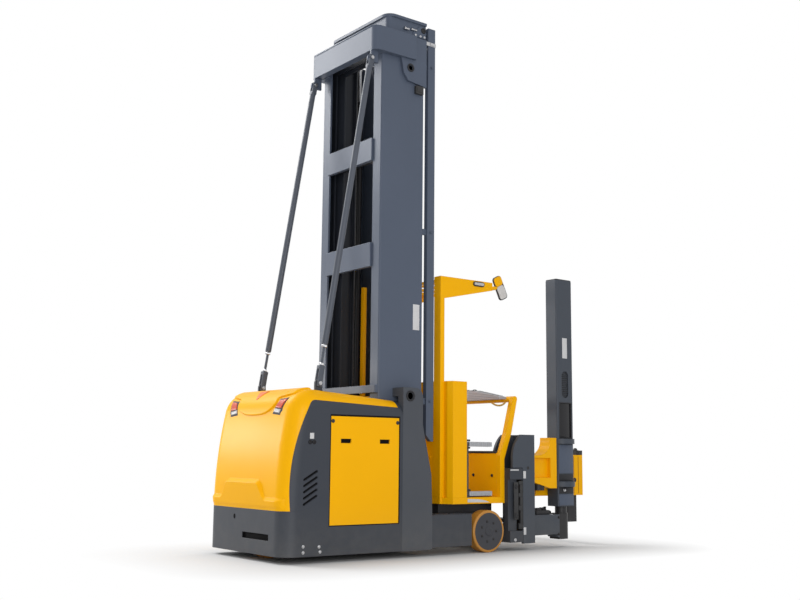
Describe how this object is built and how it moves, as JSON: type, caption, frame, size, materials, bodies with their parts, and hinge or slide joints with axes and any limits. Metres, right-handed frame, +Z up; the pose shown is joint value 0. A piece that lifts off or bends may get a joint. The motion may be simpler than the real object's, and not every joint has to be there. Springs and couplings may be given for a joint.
{
  "type": "electric man-up turret truck",
  "caption": "Very-narrow-aisle electric forklift with a tall staged mast, rising operator cab and a traversing, swinging three-way fork head.",
  "frame": {"origin": "middle of the truck's length and width, on the floor", "axes": "+X forward to the forks, +Y to the driver's left, +Z up"},
  "size_m": [3.867, 1.36, 5.215],
  "materials": {
    "body_yellow": "gloss paint",
    "chassis_grey": "satin paint",
    "mast_grey": "satin paint",
    "black_steel": "satin black paint",
    "gate_grey": "satin paint",
    "lamp_red": "clear lens",
    "wheel_disc": "satin paint",
    "tyre_amber": "polyurethane",
    "bare_steel": "bright steel",
    "chain_steel": "oiled steel",
    "buffer_black": "matte",
    "pad_black": "grained",
    "mirror_shell": "moulded"
  },
  "bodies": {
    "chassis": {"body_shell": "chassis_grey", "counterweight": "chassis_grey", "rear_cowl": "body_yellow", "tail_lamps": "lamp_red", "battery": "black_steel", "stays": "mast_grey", "mast_floor": "chassis_grey", "mast_foot_left": "chassis_grey", "mast_foot_right": "chassis_grey", "outer_column_left": "mast_grey", "outer_column_right": "mast_grey", "cross_beams": "mast_grey", "outer_crown": "mast_grey", "hose_duct": "mast_grey", "lift_cylinders": "black_steel", "load_axles": "bare_steel", "leg_left": "chassis_grey", "leg_right": "chassis_grey"},
    "middle": {"middle_stage": "mast_grey", "middle_crown": "mast_grey", "cylinder_rods": "bare_steel", "lift_chains": "chain_steel"},
    "inner": {"inner_stage": "mast_grey"},
    "cab": {"cab_carriage": "body_yellow", "cab_floor": "body_yellow", "cab_underframe": "black_steel", "cab_back": "body_yellow", "cab_quarter_left": "body_yellow", "cab_quarter_right": "body_yellow", "cab_front": "body_yellow", "front_frame": "body_yellow", "guard_sides": "body_yellow", "guard_roof": "body_yellow", "mirror": "mirror_shell", "backrest": "pad_black", "console": "chassis_grey", "traverse_frame": "chassis_grey"},
    "shift": {"shift_plates": "chassis_grey", "shift_body": "chassis_grey", "lower_arm": "chassis_grey", "slew_drive": "black_steel", "upper_arm": "body_yellow"},
    "swing": {"swing_column": "chassis_grey", "journal_bands": "black_steel"},
    "fork_carriage": {"fork_frame": "body_yellow", "fork_caps": "buffer_black", "forks": "black_steel"},
    "steer": {"steer_fork": "black_steel"},
    "drive_wheel": {"drive_disc": "wheel_disc", "drive_tyre": "tyre_amber"},
    "load_wheel_left": {"load_disc_left": "wheel_disc", "load_tyre_left": "tyre_amber"},
    "load_wheel_right": {"load_disc_right": "wheel_disc", "load_tyre_right": "tyre_amber"},
    "door_left": {"battery_door_left": "body_yellow"},
    "door_right": {"battery_door_right": "body_yellow"},
    "cab_gate_left": {"gate_left": "gate_grey"},
    "cab_gate_right": {"gate_right": "gate_grey"}
  },
  "joints": [
    {"name": "mast_lift", "type": "slide", "parent": "chassis", "child": "middle", "axis": [0, 0, 1], "range_m": [0, 3.2]},
    {"name": "inner_lift", "type": "slide", "parent": "middle", "child": "inner", "axis": [0, 0, 1], "range_m": [0, 3.2]},
    {"name": "cab_lift", "type": "slide", "parent": "inner", "child": "cab", "axis": [0, 0, 1], "range_m": [0, 3]},
    {"name": "traverse", "type": "slide", "parent": "cab", "child": "shift", "axis": [0, 1, 0], "range_m": [0, 1.06]},
    {"name": "swing", "type": "hinge", "parent": "shift", "child": "swing", "pos_m": [1.5135, -0.53, 0.41], "axis": [0, 0, -1], "range_deg": [0, 180]},
    {"name": "fork_lift", "type": "slide", "parent": "swing", "child": "fork_carriage", "axis": [0, 0, 1], "range_m": [-0.16, 1.55]},
    {"name": "steer", "type": "hinge", "parent": "chassis", "child": "steer", "pos_m": [-1.6785, 0, 0.438], "axis": [0, 0, 1], "range_deg": [-90, 90]},
    {"name": "drive_roll", "type": "hinge", "parent": "steer", "child": "drive_wheel", "pos_m": [-1.6785, 0, 0.18], "axis": [0, 1, 0], "continuous": true},
    {"name": "load_roll_left", "type": "hinge", "parent": "chassis", "child": "load_wheel_left", "pos_m": [0.3725, 0.6225, 0.2], "axis": [0, 1, 0], "continuous": true},
    {"name": "load_roll_right", "type": "hinge", "parent": "chassis", "child": "load_wheel_right", "pos_m": [0.3725, -0.6225, 0.2], "axis": [0, 1, 0], "continuous": true},
    {"name": "door_open_left", "type": "hinge", "parent": "chassis", "child": "door_left", "pos_m": [-1.4685, 0.68, 0.313], "axis": [-1, 0, 0], "range_deg": [0, 90]},
    {"name": "door_open_right", "type": "hinge", "parent": "chassis", "child": "door_right", "pos_m": [-1.4685, -0.68, 0.313], "axis": [1, 0, 0], "range_deg": [0, 90]},
    {"name": "gate_swing_left", "type": "hinge", "parent": "cab", "child": "cab_gate_left", "pos_m": [0.1845, 0.578, 0.52], "axis": [0, 0, -1], "range_deg": [0, 90]},
    {"name": "gate_swing_right", "type": "hinge", "parent": "cab", "child": "cab_gate_right", "pos_m": [0.1845, -0.578, 0.52], "axis": [0, 0, 1], "range_deg": [0, 90]}
  ],
  "couplings": [
    {"joint": "inner_lift", "follows": "mast_lift", "ratio": 1}
  ]
}
